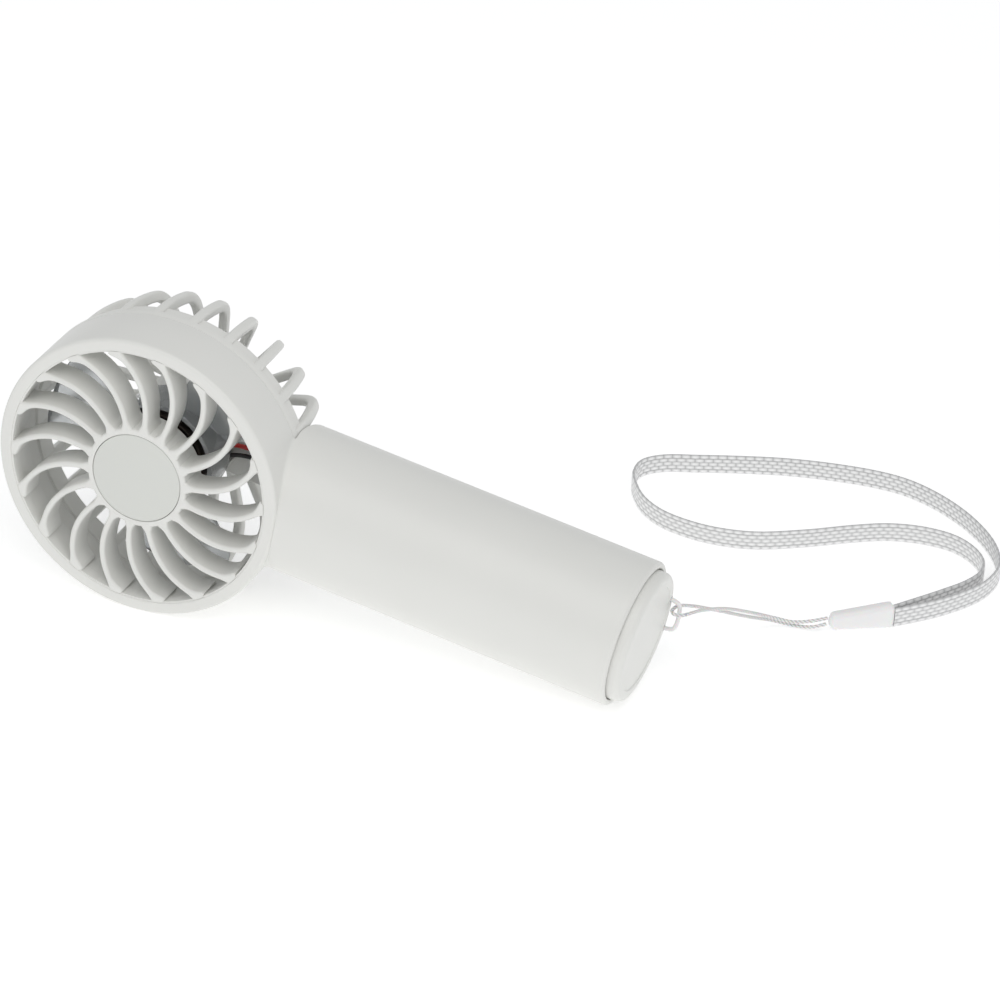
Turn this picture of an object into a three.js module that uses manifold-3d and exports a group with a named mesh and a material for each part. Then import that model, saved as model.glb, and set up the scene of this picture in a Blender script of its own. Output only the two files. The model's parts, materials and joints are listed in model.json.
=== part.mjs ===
// Handheld electric fan lying on its side, with its wrist strap spread out beside it.
// Millimetres, +Z up. The fan itself is drawn upright in its own frame and then tilted on to the table:
// x runs along the handle, y runs back from the front face, z is square to both, and the origin is
// where the fan's axis meets the front face.
import * as THREE from "three";
import { mergeVertices } from "three/addons/utils/BufferGeometryUtils.js";
import Module from "manifold-3d";

const wasm = await Module();
wasm.setup();

// ---- Driving dimensions ----
const GAP = 0.3; // between pieces that touch on the real object
const RAD = Math.PI / 180;

const HEAD_R = 36; // outer radius of the head
const HEAD_WALL = 2;
const HEAD_DEPTH = 14.3; // depth of the front housing's ring
const OPENING_R = 32.85; // the air opening in the front face
const FACE_T = 1.4; // thickness of the flat front face
const EDGE = 1; // rounding of the outer edges
const HEAD_SIDES = 60;

const HANDLE_R = 17.8;
const HANDLE_Y = 17.9; // depth of the handle's axis
const HANDLE_END = 121.2;
const BORE_R = 15.8;
const BORE_START = 41;
const RECESS_R = 16.3; // counterbore that the end cap sits in
const RECESS_START = 118.2;

const HUB_R = 12.85; // front hub
const HUB_BACK = 8.7;
const BADGE_R = 11.3;
const FIN_COUNT = 18;
const FIN_T = 1.45;
const FIN_FRONT = 0.1;
const FIN_BACK = 7.1;
const FIN_SWEEP = 18.75 * RAD; // how far a fin's tip lies ahead of its root
const FIN_TIP = 10 * RAD; // angle of the first fin's tip
const FIN_ROOT_FLARE = 0.8; // a fin is thicker by this on each side where it meets the hub
const FIN_TIP_FLARE = 1.1; // and by this where it meets the rim
const RIM_R = 32.75; // inner radius of the rim that joins the fins' tips
const RIM_BACK = 8.6;

const CAGE_FRONT = HEAD_DEPTH + GAP;
const CAGE_LIP_BACK = 16.6;
const CAGE_RING_R = [33.5, 35.1]; // the ring that the ribs stand on, inside the lip
const CAGE_RING_BACK = 20.3;
const RIB_PITCH = 15 * RAD;
const RIB_PHASE = -1 * RAD;
const FIRST_RIB = 2; // the ribs nearest the handle are left out
const LAST_RIB = 22;
const RIB_W = 2.2;
const RIB_T = 2.7;
const RIB_SIDE_START = 17; // a rib's side bends in gently from here,
const RIB_SIDE_R = 51;
const RIB_LEAN = 17.4 * RAD; // until it leans in by this,
const RIB_CORNER_R = 9; // then it turns the corner
const RIB_TURN = 75 * RAD; // until it leans in by this towards the rear hub
const REAR_HUB_R = 13.3;
const REAR_HUB_WALL = 1.5;
const REAR_HUB_FLOOR = 40.1;
const REAR_HUB_FRONT = 23.4;
const REAR_FACE = 42.8;
const ARM_Y = [28.5, 31]; // arm that carries the motor's wires to the handle
const ARM_HALF_W = 4;
const ARM_SHELF_X = 28.8; // the shelf on the arm's lower side reaches out this far
const ARM_SHELF_Z = -8.5;
const ROOT_PLATE_R = [28.6, 35.9]; // plate that screws the cage to the housing
const ROOT_PLATE_HALF = 18 * RAD;
const ROOT_PLATE_Y = [30, 32.6];
const SCREW_X = 31.9;
const SCREW_Z = 7.5;
const BOSS_Y = 22.5;

const ROTOR_R = 12.4; // motor's rotor cup
const PROP_HUB_R = 14;
const PROP_HUB_Y = [11.7, 21.9];
const PROP_TIP_R = 30.8;
const BLADE_COUNT = 3;
const BLADE_T = 1.1;
const BLADE_SPAN = 62 * RAD;
const BLADE_PHASE = 56 * RAD;
const BLADE_SKEW = -8 * RAD; // how far a blade's tip is turned from its root
const BLADE_CAMBER = 2.2;
const BLADE_NARROWING = 0.12;
const BLADE_FLATTENING = 0.25;
const BLADE_FRONT = 13.6;
const BLADE_BACK = 20.2;
const SHAFT_R = 1;
const SHAFT_FRONT = 9.6;
const SHAFT_BACK = 28.8;
const STATOR_Y = [13.6, 18.6];
const MOTOR_BOARD_Y = [21.8, 22.8];
const WIRE_Y = 27.2; // depth of the wires where they enter the handle
const WIRE_R = 0.55;
const LEAD_R = 0.5;

const BATTERY_R = 9.15;
const BATTERY_Y = 14.2;
const BATTERY_X = [48.6, 113.4];
const TRAY_Y = 23.7;
const BOARD_Y = [26, 27.6];
const BOARD_SCREWS = [
  [54, 6.5],
  [108, 6.5],
]; // x and z of the screws
const BUTTON_X = 62;
const LED_X = 74;
const USB_X = 100;
const BUTTON_HOLE_R = 5.6;
const BUTTON_DISH_R = 6.6; // shallow round flat that the button stands in
const BUTTON_DISH_Y = 34.9;
const LED_HOLE_R = 1.3;
const SWITCH_TOP = 30.3;

const CAP_R = 15.95;
const CAP_FACE = 124.1;
const EYELET_Y = HANDLE_Y + 13.5;
const EYELET_FEET = [-4.6, 3.6];
const EYELET_R = 0.55;
const EYELET_BAR_X = 126.7;

// The wrist strap is drawn in the object's own frame, where it lies on the table.
const STRAP_CORD_R = 0.45;
const RIBBON_W = 5;
const RIBBON_T = 0.9;
const FERRULE_L = 16;
const FERRULE_T = 3.2;
const FERRULE_HALF_W = [2.1, 3.25]; // at the cord's end and at the ribbon's end
const FERRULE_AT = [112.3, 49.9, 3.35];
const FERRULE_TURN = 38.7 * RAD;

// The tilt that rests both the head's side and the handle's end on the table.
const REST = [HANDLE_END - EDGE, HANDLE_R - EDGE];
const TILT = Math.asin((HEAD_R - EDGE) / Math.hypot(...REST)) - Math.atan2(REST[1], REST[0]);

// ---- Materials ----
const finish = (color, roughness, metalness = 0, opacity = 1) =>
  new THREE.MeshStandardMaterial({
    color,
    roughness,
    metalness,
    opacity,
    transparent: opacity < 1,
  });
const WHITE = finish(0xd9d9d4, 0.45);
const BADGE = finish(0xd4d5cf, 0.6);
const SMOKE = finish(0x9aa3a8, 0.15, 0, 0.55);
const STEEL = finish(0xa8a9ab, 0.3, 1);
const DARK_STEEL = finish(0x2c2826, 0.4, 0.9);
const BRONZE = finish(0x9a6b3f, 0.45, 1);
const COPPER = finish(0xb5622f, 0.35, 1);
const MAGNET = finish(0x26221f, 0.7);
const BOARD = finish(0x1f6b3a, 0.5);
const BLACK = finish(0x17171a, 0.5);
const RED_WIRE = finish(0xb3181c, 0.5);
const BLACK_WIRE = finish(0x141414, 0.5);
const CELL = finish(0x2f7fb8, 0.35);
const FOAM = finish(0x3a3a3c, 0.95);
const CLEAR = finish(0xe8eef2, 0.1, 0, 0.4);
const CORD = finish(0xf0f0f0, 0.5);
const RIBBON = finish(0xe9e9ea, 0.55);

// ---- Solids ----
// A closed geometry as a manifold-3d solid, without the flat triangles that meet on a lathe's axis.
function solid(geometry) {
  const bare = geometry.index ? geometry.toNonIndexed() : geometry.clone();
  bare.deleteAttribute("normal");
  bare.deleteAttribute("uv");
  const merged = mergeVertices(bare, 1e-4);
  const corners = merged.index.array;
  const kept = [];
  for (let i = 0; i < corners.length; i += 3) {
    const [a, b, c] = corners.slice(i, i + 3);
    if (a !== b && b !== c && c !== a) kept.push(a, b, c);
  }
  const vertProperties = merged.attributes.position.array;
  const triVerts = new Uint32Array(kept);
  return new wasm.Manifold(new wasm.Mesh({ numProp: 3, vertProperties, triVerts }));
}

function geometryOf(body) {
  const { vertProperties, triVerts } = body.getMesh();
  const geometry = new THREE.BufferGeometry();
  geometry.setAttribute("position", new THREE.BufferAttribute(vertProperties, 3));
  geometry.setIndex(new THREE.BufferAttribute(triVerts, 1));
  geometry.computeVertexNormals();
  return geometry;
}

const join = (bodies) => bodies.reduce((all, body) => all.add(body));

// A profile of [radius, y] points turned about the y axis. It closes on itself or along the axis.
function turned(profile, sides = 40) {
  const area = profile.reduce((sum, [r, y], i) => {
    const [nextR, nextY] = profile[(i + 1) % profile.length];
    return sum + r * nextY - nextR * y;
  }, 0);
  const outward = area > 0 ? profile : [...profile].reverse();
  const points = outward.map(([r, y]) => new THREE.Vector2(r, y));
  if (points[0].x > 0) points.push(points[0].clone());
  return solid(new THREE.LatheGeometry(points, sides));
}

const rod = (r, y0, y1, sides = 16) => turned([[0, y0], [r, y0], [r, y1], [0, y1]], sides);
const pipe = (inner, outer, y0, y1, sides = 36) =>
  turned([[inner, y0], [outer, y0], [outer, y1], [inner, y1]], sides);
const block = (x, y, z) =>
  solid(new THREE.BoxGeometry(x[1] - x[0], y[1] - y[0], z[1] - z[0])).translate(
    (x[0] + x[1]) / 2,
    (y[0] + y[1]) / 2,
    (z[0] + z[1]) / 2,
  );

// Turns a body drawn about the y axis so that it lies along x at the handle's depth.
const alongHandle = (body) => body.rotate(0, 0, -90).translate(0, HANDLE_Y, 0);
// Turns a body about the fan's axis, from x towards z.
const spun = (body, angle) => body.rotate(0, -angle / RAD, 0);

// A flat outline of [x, z] points made into a plate between two depths.
function plate(outline, yFront, yBack) {
  const shape = new THREE.Shape(outline.map(([x, z]) => new THREE.Vector2(x, z)));
  const geometry = new THREE.ExtrudeGeometry(shape, { depth: yBack - yFront, bevelEnabled: false });
  return solid(geometry.rotateX(Math.PI / 2).translate(0, yBack, 0));
}

// A section swept along a smooth curve through the points.
function swept(section, points, steps) {
  const path = new THREE.CatmullRomCurve3(points.map((p) => new THREE.Vector3(...p)));
  return solid(
    new THREE.ExtrudeGeometry(new THREE.Shape(section), { steps, bevelEnabled: false, extrudePath: path }),
  );
}

const roundSection = (r, sides = 8) =>
  Array.from({ length: sides }, (_, i) => {
    const angle = (i * 2 * Math.PI) / sides;
    return new THREE.Vector2(r * Math.cos(angle), r * Math.sin(angle));
  });

// A quarter-round corner of a profile, from one angle to another.
const arc = ([r, y], radius, from, to, steps) =>
  Array.from({ length: steps + 1 }, (_, i) => {
    const angle = from + ((to - from) * i) / steps;
    return [r + radius * Math.cos(angle), y + radius * Math.sin(angle)];
  });

function piece(name, body, material) {
  const mesh = new THREE.Mesh(geometryOf(body), material);
  mesh.name = name;
  return mesh;
}

// ---- Head and handle ----
function mainHousing() {
  const ring = turned(
    [
      [OPENING_R, FACE_T],
      [OPENING_R, GAP],
      [OPENING_R + GAP, 0],
      ...arc([HEAD_R - EDGE, EDGE], EDGE, -Math.PI / 2, 0, 2),
      [HEAD_R, HEAD_DEPTH],
      [HEAD_R - HEAD_WALL, HEAD_DEPTH],
      [HEAD_R - HEAD_WALL, FACE_T],
    ],
    HEAD_SIDES,
  );
  const tube = alongHandle(
    turned([
      [0, 20],
      [HANDLE_R, 20],
      ...arc([HANDLE_R - EDGE, HANDLE_END - EDGE], EDGE, 0, Math.PI / 2, 2),
      [0, HANDLE_END],
    ]),
  );
  const cageClearance = HEAD_R + GAP;
  const headRoom = turned(
    [
      [0, -1],
      [OPENING_R, -1],
      [OPENING_R, FACE_T],
      [HEAD_R - HEAD_WALL, FACE_T],
      [HEAD_R - HEAD_WALL, HEAD_DEPTH],
      [cageClearance, HEAD_DEPTH],
      [cageClearance, 45],
      [0, 45],
    ],
    HEAD_SIDES,
  );
  const bore = alongHandle(
    turned([
      [0, BORE_START],
      [BORE_R, BORE_START],
      [BORE_R, RECESS_START],
      [RECESS_R, RECESS_START],
      [RECESS_R, HANDLE_END + 1],
      [0, HANDLE_END + 1],
    ]),
  );
  const bosses = [-1, 1].map((side) =>
    block([29.2, 37.5], [BOSS_Y, ROOT_PLATE_Y[0] - GAP], side > 0 ? [5, 10] : [-10, -5]),
  );
  const bossHoles = [-1, 1].map((side) =>
    rod(0.95, BOSS_Y - 1, ROOT_PLATE_Y[0], 12).translate(SCREW_X, 0, side * SCREW_Z),
  );
  const wireHole = rod(2.2, -8, 8, 16).rotate(0, 0, -90).translate(38, WIRE_Y, 0);
  const buttonHole = rod(BUTTON_HOLE_R, 30, 40, 24)
    .add(rod(BUTTON_DISH_R, BUTTON_DISH_Y, 40, 24))
    .translate(BUTTON_X, 0, 0);
  const lightHole = rod(LED_HOLE_R, 30, 40, 12).translate(LED_X, 0, 0);
  const usbSlot = block([USB_X - 2, USB_X + 2], [30, 40], [-4.9, 4.9]);
  return ring
    .add(tube)
    .subtract(headRoom)
    .add(join(bosses))
    .subtract(join([bore, wireHole, buttonHole, lightHole, usbSlot, ...bossHoles]));
}

// The fin's centre line turns ahead as the square of the way out from the hub.
function finPoint(r, offset) {
  const reach = r - 13;
  const angle = FIN_TIP - FIN_SWEEP + FIN_SWEEP * (reach / 20) ** 2;
  const slope = (r * 2 * FIN_SWEEP * reach) / 400;
  const lean = Math.atan(slope);
  return [
    r * Math.cos(angle) - offset * Math.sin(angle + lean),
    r * Math.sin(angle) + offset * Math.cos(angle + lean),
  ];
}

function finHalfWidth(r) {
  const nearHub = Math.max(0, 1 - (r - HUB_R) / 2);
  const nearRim = Math.max(0, 1 - (RIM_R - r) / 3);
  return FIN_T / 2 + FIN_ROOT_FLARE * Math.min(1, nearHub) ** 2 + FIN_TIP_FLARE * Math.min(1, nearRim) ** 2;
}

function fin() {
  const root = HUB_R - 0.5;
  const tip = RIM_R + 0.5;
  const radii = [root, HUB_R, HUB_R + 1, HUB_R + 2, 18, 21.5, 25, 28, RIM_R - 3, RIM_R - 1.5, RIM_R, tip];
  const near = radii.map((r) => finPoint(r, -finHalfWidth(r)));
  const far = radii.map((r) => finPoint(r, finHalfWidth(r))).reverse();
  const within = rod(OPENING_R - GAP, FIN_FRONT - 1, FACE_T + GAP, HEAD_SIDES).add(
    rod(tip, FACE_T + GAP, FIN_BACK + 1, HEAD_SIDES),
  );
  return plate([...near, ...far], FIN_FRONT, FIN_BACK).intersect(within);
}

function frontGrille() {
  const hub = turned([
    [0, 1.6],
    [BADGE_R + GAP, 1.6],
    [BADGE_R + GAP, 0.15],
    [HUB_R - 0.4, 0.15],
    [HUB_R, 0.55],
    [HUB_R, HUB_BACK],
    [HUB_R - 1.35, HUB_BACK],
    [HUB_R - 1.35, 3.2],
    [0, 3.2],
  ]);
  const rim = pipe(RIM_R, HEAD_R - HEAD_WALL - GAP, FACE_T + GAP, RIM_BACK, HEAD_SIDES);
  const oneFin = fin();
  const fins = Array.from({ length: FIN_COUNT }, (_, k) => spun(oneFin, (k * 2 * Math.PI) / FIN_COUNT));
  return join([hub, rim, ...fins]);
}

const badgeDisc = () =>
  turned([[0, 0.2], [BADGE_R - 0.2, 0.2], [BADGE_R, 0.4], [BADGE_R, 1.3], [0, 1.3]]);

// ---- Rear cage ----
// A rib's edge at some depth inside its outer face: down the side, round the corner and in to the hub.
function ribEdge(inside) {
  const sideCentre = [HEAD_R - RIB_SIDE_R, RIB_SIDE_START];
  const between = RIB_SIDE_R - RIB_CORNER_R;
  const cornerCentre = [
    sideCentre[0] + between * Math.cos(RIB_LEAN),
    sideCentre[1] + between * Math.sin(RIB_LEAN),
  ];
  const corner = arc(cornerCentre, RIB_CORNER_R - inside, RIB_LEAN, RIB_TURN, 5);
  const [lastR, lastY] = corner.at(-1);
  const reach = lastR - (REAR_HUB_R - 0.8);
  return [
    [HEAD_R - inside, CAGE_FRONT + 0.8],
    ...arc(sideCentre, RIB_SIDE_R - inside, 0, RIB_LEAN, 3).slice(0, -1),
    ...corner,
    [lastR - reach, lastY + reach / Math.tan(RIB_TURN)],
  ];
}

function rib() {
  const outline = [...ribEdge(0), ...ribEdge(RIB_T).reverse()];
  const shape = new THREE.Shape(outline.map((p) => new THREE.Vector2(...p)));
  return solid(
    new THREE.ExtrudeGeometry(shape, { depth: RIB_W, bevelEnabled: false }).translate(0, 0, -RIB_W / 2),
  );
}

function rearCage() {
  const lip = pipe(HEAD_R - HEAD_WALL - 0.1, HEAD_R, CAGE_FRONT, CAGE_LIP_BACK, HEAD_SIDES);
  const hub = turned([
    [0, REAR_HUB_FLOOR],
    [REAR_HUB_R - REAR_HUB_WALL, REAR_HUB_FLOOR],
    [REAR_HUB_R - REAR_HUB_WALL, REAR_HUB_FRONT],
    [REAR_HUB_R, REAR_HUB_FRONT],
    [REAR_HUB_R, REAR_FACE - 0.8],
    [REAR_HUB_R - 0.8, REAR_FACE],
    [0, REAR_FACE],
  ]);
  const wireNotch = block([10, 15], [REAR_HUB_FRONT - 1, ARM_Y[0]], [-3, 3]);
  const arm = block([REAR_HUB_R - 1, 31], ARM_Y, [-ARM_HALF_W, ARM_HALF_W]);
  const shelf = block([8, ARM_SHELF_X], ARM_Y, [ARM_SHELF_Z, 0.5 - ARM_HALF_W]).subtract(
    rod(REAR_HUB_R - 0.6, ARM_Y[0] - 1, ARM_Y[1] + 1, HEAD_SIDES),
  );
  const [nearR, farR] = ROOT_PLATE_R;
  const rootPlate = plate(
    [
      ...arc([0, 0], farR, -ROOT_PLATE_HALF, ROOT_PLATE_HALF, 9),
      ...arc([0, 0], nearR, ROOT_PLATE_HALF, -ROOT_PLATE_HALF, 7),
    ],
    ...ROOT_PLATE_Y,
  );
  const holes = [-1, 1].map((side) =>
    rod(1.1, ROOT_PLATE_Y[0] - 1, ROOT_PLATE_Y[1] + 1, 12).translate(SCREW_X, 0, side * SCREW_Z),
  );
  const oneRib = rib();
  const ribs = [];
  for (let k = FIRST_RIB; k <= LAST_RIB; k++) ribs.push(spun(oneRib, RIB_PHASE + k * RIB_PITCH));
  const ring = pipe(...CAGE_RING_R, CAGE_FRONT + GAP, CAGE_RING_BACK, HEAD_SIDES);
  return join([lip, ring, hub, arm, shelf, rootPlate, ...ribs]).subtract(join([wireNotch, ...holes]));
}

const cageScrew = () =>
  turned([[0, 23.6], [0.8, 23.9], [0.8, 32.9], [1.9, 32.9], [1.9, 33.6], [1.3, 34.1], [0, 34.1]], 16);

// ---- Motor and propeller ----
// One blade: a thin helical sheet whose chord narrows and flattens slightly towards the tip.
function blade() {
  const spans = 4;
  const chords = 5;
  const points = [];
  const at = (side, i, j) => side * (spans + 1) * (chords + 1) + i * (chords + 1) + j;
  for (const side of [-1, 1])
    for (let i = 0; i <= spans; i++)
      for (let j = 0; j <= chords; j++) {
        const out = i / spans;
        const across = j / chords - 0.5;
        const r = PROP_HUB_R - 0.6 + (PROP_TIP_R - PROP_HUB_R + 0.6) * out;
        const angle = across * BLADE_SPAN * (1 - BLADE_NARROWING * out) + BLADE_SKEW * out;
        const middle = (BLADE_FRONT + BLADE_BACK) / 2;
        const rise = (BLADE_BACK - BLADE_FRONT - BLADE_T) * (1 - BLADE_FLATTENING * out);
        const bulge = BLADE_CAMBER * (0.25 - across * across);
        const y = middle - across * rise - bulge + (side * BLADE_T) / 2;
        points.push(r * Math.cos(angle), y, r * Math.sin(angle));
      }
  const triangles = [];
  const quad = (a, b, c, d) => triangles.push(a, b, c, a, c, d);
  for (let i = 0; i < spans; i++)
    for (let j = 0; j < chords; j++) {
      quad(at(0, i, j), at(0, i + 1, j), at(0, i + 1, j + 1), at(0, i, j + 1));
      quad(at(1, i, j), at(1, i, j + 1), at(1, i + 1, j + 1), at(1, i + 1, j));
    }
  for (let i = 0; i < spans; i++) {
    quad(at(0, i, 0), at(1, i, 0), at(1, i + 1, 0), at(0, i + 1, 0));
    quad(at(0, i, chords), at(0, i + 1, chords), at(1, i + 1, chords), at(1, i, chords));
  }
  for (let j = 0; j < chords; j++) {
    quad(at(0, 0, j), at(0, 0, j + 1), at(1, 0, j + 1), at(1, 0, j));
    quad(at(0, spans, j), at(1, spans, j), at(1, spans, j + 1), at(0, spans, j + 1));
  }
  const geometry = new THREE.BufferGeometry();
  geometry.setAttribute("position", new THREE.Float32BufferAttribute(points, 3));
  geometry.setIndex(triangles);
  return solid(geometry);
}

function propeller() {
  const hub = pipe(ROTOR_R + GAP, PROP_HUB_R, ...PROP_HUB_Y);
  const oneBlade = blade();
  const blades = Array.from({ length: BLADE_COUNT }, (_, k) =>
    spun(oneBlade, BLADE_PHASE + (k * 2 * Math.PI) / BLADE_COUNT),
  );
  return join([hub, ...blades]);
}

const rotorCan = () =>
  turned([
    [SHAFT_R + GAP, 10],
    [ROTOR_R - 0.5, 10],
    [ROTOR_R, 10.5],
    [ROTOR_R, 20.4],
    [ROTOR_R - 0.8, 20.4],
    [ROTOR_R - 0.8, 10.8],
    [2.6, 10.8],
    [2.6, 13.4],
    [SHAFT_R + GAP, 13.4],
  ]);
const magnetRing = () => pipe(9.8, 11.3, 12, 20, 36);
const motorShaft = () =>
  turned(
    [
      [0, SHAFT_FRONT],
      [SHAFT_R - 0.2, SHAFT_FRONT],
      [SHAFT_R, SHAFT_FRONT + 0.2],
      [SHAFT_R, SHAFT_BACK],
      [0, SHAFT_BACK],
    ],
    16,
  );
const shaftClip = () => pipe(SHAFT_R + GAP, 2.4, 28.35, 28.75, 16);
const bearingSleeve = () => pipe(SHAFT_R + 0.12, 3, 15, 27.6, 24);
const bearingTube = () =>
  turned(
    [
      [3.3, 14.6],
      [4, 14.6],
      [4, REAR_HUB_FLOOR - 1.8],
      [6.5, REAR_HUB_FLOOR - 1.8],
      [6.5, REAR_HUB_FLOOR - GAP],
      [3.3, REAR_HUB_FLOOR - GAP],
    ],
    24,
  );

function statorCore() {
  const tooth = block([4.9, 8.4], STATOR_Y, [-1.6, 1.6]);
  const shoe = plate(
    [...arc([0, 0], 9.4, -36 * RAD, 36 * RAD, 6), ...arc([0, 0], 7.9, 30 * RAD, -30 * RAD, 4)],
    ...STATOR_Y,
  );
  const teeth = Array.from({ length: 4 }, (_, k) => spun(tooth.add(shoe), (k * Math.PI) / 2));
  return join([pipe(4.3, 5.4, ...STATOR_Y, 24), ...teeth]);
}

function statorCoil() {
  const [front, back] = STATOR_Y;
  const window = block([5, 8], [front - GAP, back + GAP], [-1.9, 1.9]);
  return block([5.7, 6.8], [front - 1, back + 1], [-3.2, 3.2]).subtract(window);
}

const motorBoard = () => pipe(4.3, 9.5, ...MOTOR_BOARD_Y, 36);
const motorChip = () => block([-8.2, -5], [MOTOR_BOARD_Y[1] + GAP, 24.2], [-1.6, 1.6]);

// ---- Inside the handle ----
const batteryCell = () =>
  turned(
    [
      [0, BATTERY_X[0] - 0.6],
      [3, BATTERY_X[0] - 0.6],
      [3, BATTERY_X[0]],
      [BATTERY_R - 0.5, BATTERY_X[0]],
      [BATTERY_R, BATTERY_X[0] + 0.5],
      [BATTERY_R, BATTERY_X[1] - 0.5],
      [BATTERY_R - 0.5, BATTERY_X[1]],
      [0, BATTERY_X[1]],
    ],
    36,
  )
    .rotate(0, 0, -90)
    .translate(0, BATTERY_Y, 0);

function batteryTray() {
  const [start, end] = [46.6, 115.4];
  const wall = 1.1;
  const floor = block([start, end], [TRAY_Y, TRAY_Y + 1], [-10, 10]);
  const ends = [start, end - wall].map((x) => block([x, x + wall], [9, TRAY_Y + 1], [-8, 8]));
  const posts = BOARD_SCREWS.map(([x, z]) => rod(1.8, TRAY_Y + 0.5, BOARD_Y[0] - GAP, 12).translate(x, 0, z));
  const holes = BOARD_SCREWS.map(([x, z]) => rod(0.75, TRAY_Y - 1, BOARD_Y[0] + 1, 10).translate(x, 0, z));
  const leadNotches = [start, end].map((x) => block([x - 2, x + 2], [20, 27], [-10, -6]));
  return join([floor, ...ends, ...posts]).subtract(join([...holes, ...leadNotches]));
}

const foamPad = () => block([56, 106], [2.75, 4.7], [-3.1, 3.1]);

function circuitBoard() {
  const sheet = block([50.5, 112], BOARD_Y, [-9.5, 9.5]);
  const holes = BOARD_SCREWS.map(([x, z]) => rod(1.1, 25, 29, 12).translate(x, 0, z));
  return sheet.subtract(join(holes));
}

const boardScrew = () =>
  turned([[0, 24.9], [0.6, 25.1], [0.6, 27.9], [1.6, 27.9], [1.6, 28.5], [1.2, 28.9], [0, 28.9]], 12);

function usbSocket() {
  const shell = block([USB_X - 1.6, USB_X + 1.6], [BOARD_Y[1] + GAP, 34.7], [-4.5, 4.5]);
  const mouth = block([USB_X - 1.2, USB_X + 1.2], [29.2, 36], [-4.1, 4.1]);
  const tongue = block([USB_X - 0.35, USB_X + 0.35], [29, 33.9], [-3.2, 3.2]);
  return shell.subtract(mouth).add(tongue);
}

const tactSwitch = () =>
  block([BUTTON_X - 3, BUTTON_X + 3], [BOARD_Y[1] + GAP, SWITCH_TOP], [-3, 3]).subtract(
    rod(1.9, 28.6, 32, 16).translate(BUTTON_X, 0, 0),
  );
const switchPlunger = () => rod(1.6, 29.3, 30.7, 16).translate(BUTTON_X, 0, 0);
const powerButton = () =>
  turned([[0, 31], [6.4, 31], [6.4, 31.8], [5.2, 31.8], [5.2, 35.5], [4.7, 36], [2.6, 35.8], [0, 35.7]], 24)
    .translate(BUTTON_X, 0, 0);

const chargeLed = () => block([LED_X - 0.8, LED_X + 0.8], [27.9, 28.6], [-0.4, 0.4]);
const lightGuide = () =>
  turned([[0, 28.9], [1, 28.9], [1, 35.4], [0.6, 35.7], [0, 35.7]], 12).translate(LED_X, 0, 0);
const controlChip = () => block([82, 87], [27.9, 29.2], [-2, 2]);

const wire = (points, r) => swept(roundSection(r), points, 16);
const motorWire = (side) =>
  wire(
    [
      [8.2, 23.7, side * 1.7],
      [11.2, 24.6, side * 1.6],
      [14.4, 26.7, side * 1.3],
      [19, 27.5, side * 1],
      [30, 27.5, side * 1],
      [38, WIRE_Y, side * 0.95],
      [45, 27.5, side * 1],
      [49, 28.4, side * 1.5],
      [52.6, 28.5, side * 2],
    ],
    WIRE_R,
  );
// A lead from one end of the battery, over the tray's end and on to the board.
const batteryLead = (x, inward) =>
  wire(
    [
      [x, 16.5, -4.6],
      [x, 19, -6.4],
      [x - inward * 0.2, 22.4, -7.8],
      [x - inward * 0.2, 25.6, -8],
      [x + inward * 1.6, 28.1, -7.8],
      [x + inward * 4.5, 28.6, -7.6],
      [x + inward * 7.4, 28.6, -7.4],
    ],
    LEAD_R,
  );

function endCap() {
  const cap = alongHandle(
    turned([
      [0, CAP_FACE],
      ...arc([CAP_R - 1.5, CAP_FACE - 1.5], 1.5, Math.PI / 2, 0, 3),
      [CAP_R, RECESS_START + GAP],
      [BORE_R - 0.4, RECESS_START + GAP],
      [BORE_R - 0.4, 114],
      [13.9, 114],
      [13.9, 121.6],
      [0, 121.6],
    ]),
  );
  const feet = EYELET_FEET.map((z) => rod(0.9, 119, 126, 12).rotate(0, 0, -90).translate(0, EYELET_Y, z));
  return cap.subtract(join(feet));
}

function strapEyelet() {
  const [low, high] = EYELET_FEET;
  const arch = [
    [120.9, low],
    [124.6, low],
    [EYELET_BAR_X - 0.5, low + 0.6],
    [EYELET_BAR_X, low + 2],
    [EYELET_BAR_X, high - 2],
    [EYELET_BAR_X - 0.5, high - 0.6],
    [124.6, high],
    [120.9, high],
  ];
  return swept(roundSection(EYELET_R), arch.map(([x, z]) => [x, EYELET_Y, z]), 16);
}

// ---- Wrist strap ----
// The looped cord: its first strand passes behind the eyelet's bar, and the second carries on from it.
const STRAND_1 = [
  [82, 9.2, 17.8],
  [81.2, 8.3, 17.9],
  [79.9, 7.9, 18.1],
  [78.95, 8.8, 18.2],
  [78.9, 10.2, 18.2],
  [79.3, 12.2, 17.9],
  [81.6, 17, 15.8],
  [85.4, 25.4, 10.9],
  [89, 34.6, 5.4],
  [93.6, 41.2, 1.9],
  [98.6, 43, 0.9],
  [102.6, 43.3, 1.6],
  [105.5, 44.5, 2.6],
];
const STRAND_2 = [
  [82.2, 9.47, 17.8],
  [82.9, 10.9, 17.6],
  [84, 14.6, 16.6],
  [86.8, 23.6, 13],
  [90.2, 32.6, 8],
  [93.8, 39.2, 4],
  [98, 42, 2.4],
  [102, 43.4, 3],
  [105.6, 44.8, 4.1],
];

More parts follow.
